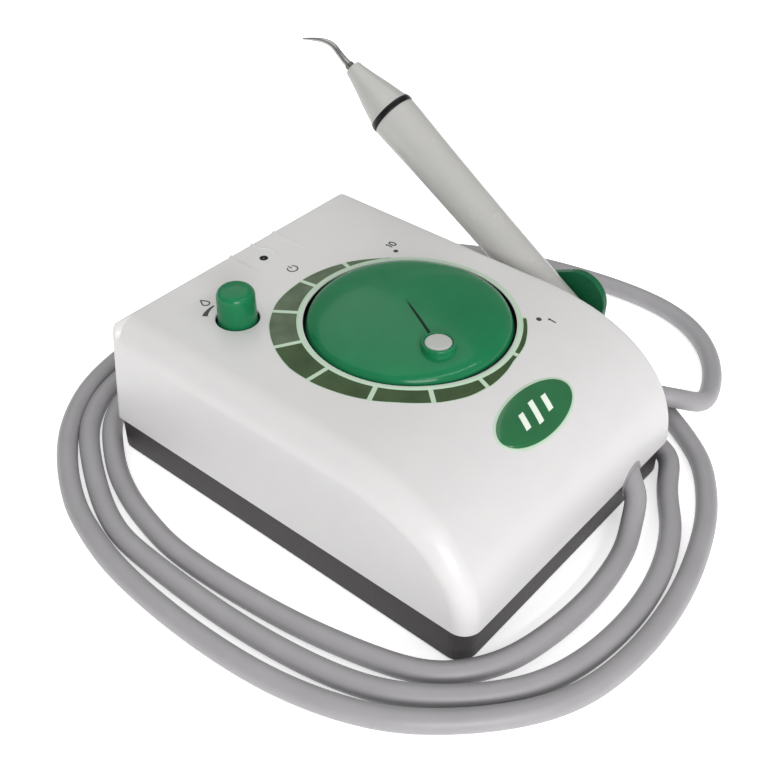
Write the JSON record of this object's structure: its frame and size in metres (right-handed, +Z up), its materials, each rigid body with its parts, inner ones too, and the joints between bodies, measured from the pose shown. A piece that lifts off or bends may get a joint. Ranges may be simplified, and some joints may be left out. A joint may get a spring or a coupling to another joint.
{
  "type": "ultrasonic scaler",
  "caption": "Desk-top ultrasonic scaler: a round-nosed case with a large power dial, a water knob and a corded handpiece resting in a side cradle.",
  "frame": {"origin": "on the surface that the unit stands on, under the middle of everything but the free cord", "axes": "+Z up, +X towards the user's right, where the handpiece rests, +Y towards the back, where the sockets are"},
  "size_m": [0.2309, 0.2217, 0.1003],
  "materials": {
    "case_plastic": "glossy warm white moulding",
    "tray_plastic": "fine textured dark grey",
    "green_plastic": "polished green moulding",
    "dark_green_plastic": "satin dark green moulding",
    "pointer_plastic": "pale grey inlay",
    "black_plastic": "black moulding",
    "handpiece_plastic": "smooth autoclavable grey white",
    "steel": "fine machined stainless",
    "titanium": "turned titanium",
    "brass": "turned brass",
    "aluminium": "plain",
    "ceramic": "sintered piezo ceramic",
    "circuit_board": "lacquered glass laminate",
    "copper": "enamelled copper winding",
    "rubber": "matte black",
    "cord_rubber": "satin mid grey silicone",
    "hose_plastic": "clear milky hose",
    "lamp_lens": "tinted lens"
  },
  "bodies": {
    "unit": {"base_tray": "tray_plastic", "upper_case": "case_plastic", "foot_1": "rubber", "foot_2": "rubber", "foot_3": "rubber", "foot_4": "rubber", "case_screw_1": "steel", "case_screw_2": "steel", "case_screw_3": "steel", "case_screw_4": "steel", "lamp_bezel": "black_plastic", "power_lamp": "lamp_lens", "cord_gland": "rubber", "handpiece_cord": "cord_rubber", "handpiece_cradle": "dark_green_plastic", "cradle_screw_1": "steel", "cradle_screw_2": "steel", "foot_switch_socket": "black_plastic", "foot_switch_nut": "steel", "power_socket": "black_plastic", "water_inlet": "brass", "water_inlet_nut": "steel", "switch_frame": "black_plastic", "potentiometer": "aluminium", "potentiometer_nut": "steel", "water_valve": "brass", "water_valve_nut": "steel", "main_board": "circuit_board", "transformer": "tray_plastic", "heat_sink": "aluminium", "capacitor": "aluminium", "output_coil": "copper", "solenoid_valve": "black_plastic", "inlet_hose": "hose_plastic", "regulator_hose": "hose_plastic", "handpiece_hose": "hose_plastic", "board_screw_1": "steel", "board_screw_2": "steel", "board_screw_3": "steel", "board_screw_4": "steel"},
    "dial": {"power_dial": "green_plastic", "dial_pointer": "pointer_plastic", "potentiometer_shaft": "brass"},
    "water_control": {"water_knob": "green_plastic", "water_valve_stem": "brass"},
    "rocker": {"switch_rocker": "black_plastic"},
    "handpiece": {"handpiece_body": "handpiece_plastic", "handpiece_ring": "black_plastic", "nose_cone": "handpiece_plastic", "scaler_tip": "steel", "handpiece_plug": "cord_rubber", "plug_boot": "cord_rubber", "transducer_horn": "titanium", "tail_mass": "steel", "transducer_bolt": "steel", "piezo_disc_1": "ceramic", "piezo_disc_2": "ceramic", "piezo_disc_3": "ceramic", "piezo_disc_4": "ceramic"}
  },
  "joints": [
    {"name": "power_dial_turn", "type": "hinge", "parent": "unit", "child": "dial", "pos_m": [-0.0034, -0.0124, 0.05], "axis": [0, 0, 1], "range_deg": [-196, 70]},
    {"name": "water_knob_turn", "type": "hinge", "parent": "unit", "child": "water_control", "pos_m": [-0.0375, 0.0286, 0.052], "axis": [0, 0, 1], "range_deg": [-135, 135]},
    {"name": "switch_rock", "type": "hinge", "parent": "unit", "child": "rocker", "pos_m": [-0.0396, 0.0536, 0.029], "axis": [1, 0, 0], "range_deg": [0, 20]},
    {"name": "handpiece_lift", "type": "slide", "parent": "unit", "child": "handpiece", "axis": [0, -0.5417, 0.8406], "range_m": [0, 0.04]}
  ]
}
